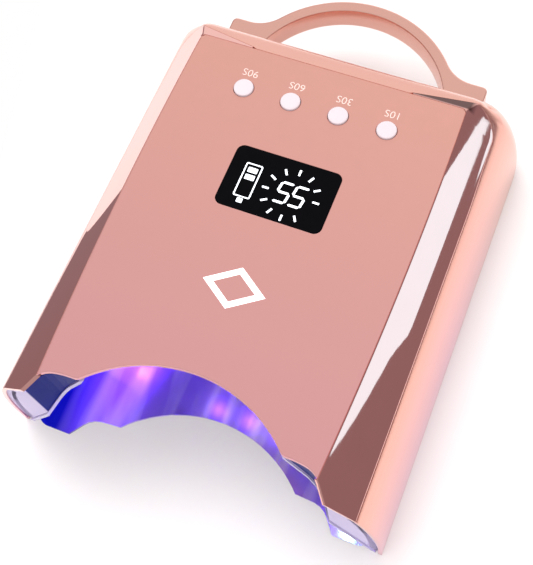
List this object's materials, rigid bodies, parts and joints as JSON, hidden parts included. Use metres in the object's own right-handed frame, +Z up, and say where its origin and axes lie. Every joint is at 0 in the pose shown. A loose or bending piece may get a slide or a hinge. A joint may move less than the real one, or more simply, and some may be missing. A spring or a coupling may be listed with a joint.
{
  "type": "uv led nail lamp",
  "caption": "Cordless UV LED nail lamp with a flared housing, sloping deck, arched hand opening, timer buttons, display, rear carrying handle and a lift-off base tray.",
  "frame": {"origin": "on the table, under the middle of the overall length and width", "axes": "-Y is the open front for the hand, +Y is the handle, +Z is up, X runs across"},
  "size_m": [0.205, 0.282, 0.095],
  "materials": {
    "rose_chrome": "satin rose-gold plating",
    "rose_mirror": "mirror rose-gold plating",
    "rose_panel": "satin rose-gold, slight sheen",
    "black_glass": "gloss black window",
    "white_diffuser": "white translucent, lit from below",
    "white_button": "gloss white",
    "circuit_board": "solder-mask green",
    "black_plastic": "matt black",
    "ivory_plastic": "matt ivory",
    "liner_white": "gloss white reflector",
    "cap_lilac": "satin, lit violet by the lamp",
    "led_board_white": "white solder mask",
    "uv_led": "clear epoxy dome",
    "sensor_violet": "dark violet window",
    "cell_wrap": "blue shrink sleeve",
    "rose_plastic": "satin rose plastic",
    "steel": "zinc plated",
    "magnet_nickel": "nickel plated",
    "tray_mirror": "mirror-faced tray",
    "foot_rubber": "matt rubber"
  },
  "bodies": {
    "housing": {"outer_skirt": "rose_chrome", "top_cover": "rose_mirror", "top_panel": "rose_panel", "display_lens": "black_glass", "emblem_inlay": "white_diffuser", "control_board": "circuit_board", "tact_switches": "black_plastic", "display_module": "ivory_plastic", "inner_reflector": "liner_white", "end_cap_left": "cap_lilac", "end_cap_right": "cap_lilac", "led_board_top": "led_board_white", "led_board_left": "led_board_white", "led_board_right": "led_board_white", "leds_top": "uv_led", "leds_left": "uv_led", "leds_right": "uv_led", "ir_sensor": "sensor_violet", "cells_left": "cell_wrap", "cells_right": "cell_wrap", "cradles_left": "liner_white", "cradles_right": "liner_white", "bottom_cover": "rose_plastic", "bottom_screws": "steel", "driver_board": "circuit_board", "driver_parts": "black_plastic", "dc_jack": "black_plastic", "housing_magnets": "magnet_nickel", "handle": "rose_chrome", "handle_screws": "steel", "handle_nuts": "steel"},
    "button_90s_body": {"button_90s": "white_button"},
    "button_60s_body": {"button_60s": "white_button"},
    "button_30s_body": {"button_30s": "white_button"},
    "button_10s_body": {"button_10s": "white_button"},
    "tray": {"base_tray": "tray_mirror", "tray_magnets": "magnet_nickel", "tray_feet": "foot_rubber"}
  },
  "joints": [
    {"name": "press_90s", "type": "slide", "parent": "housing", "child": "button_90s_body", "axis": [0, -0.0576, -0.9983], "range_m": [0, 0.0006], "stiffness_N_per_m": 1500, "springref_m": -0.0004},
    {"name": "press_60s", "type": "slide", "parent": "housing", "child": "button_60s_body", "axis": [0, -0.0576, -0.9983], "range_m": [0, 0.0006], "stiffness_N_per_m": 1500, "springref_m": -0.0004},
    {"name": "press_30s", "type": "slide", "parent": "housing", "child": "button_30s_body", "axis": [0, -0.0576, -0.9983], "range_m": [0, 0.0006], "stiffness_N_per_m": 1500, "springref_m": -0.0004},
    {"name": "press_10s", "type": "slide", "parent": "housing", "child": "button_10s_body", "axis": [0, -0.0576, -0.9983], "range_m": [0, 0.0006], "stiffness_N_per_m": 1500, "springref_m": -0.0004},
    {"name": "tray_lift_off", "type": "slide", "parent": "housing", "child": "tray", "axis": [0, 0, -1], "range_m": [0, 0.03]}
  ]
}
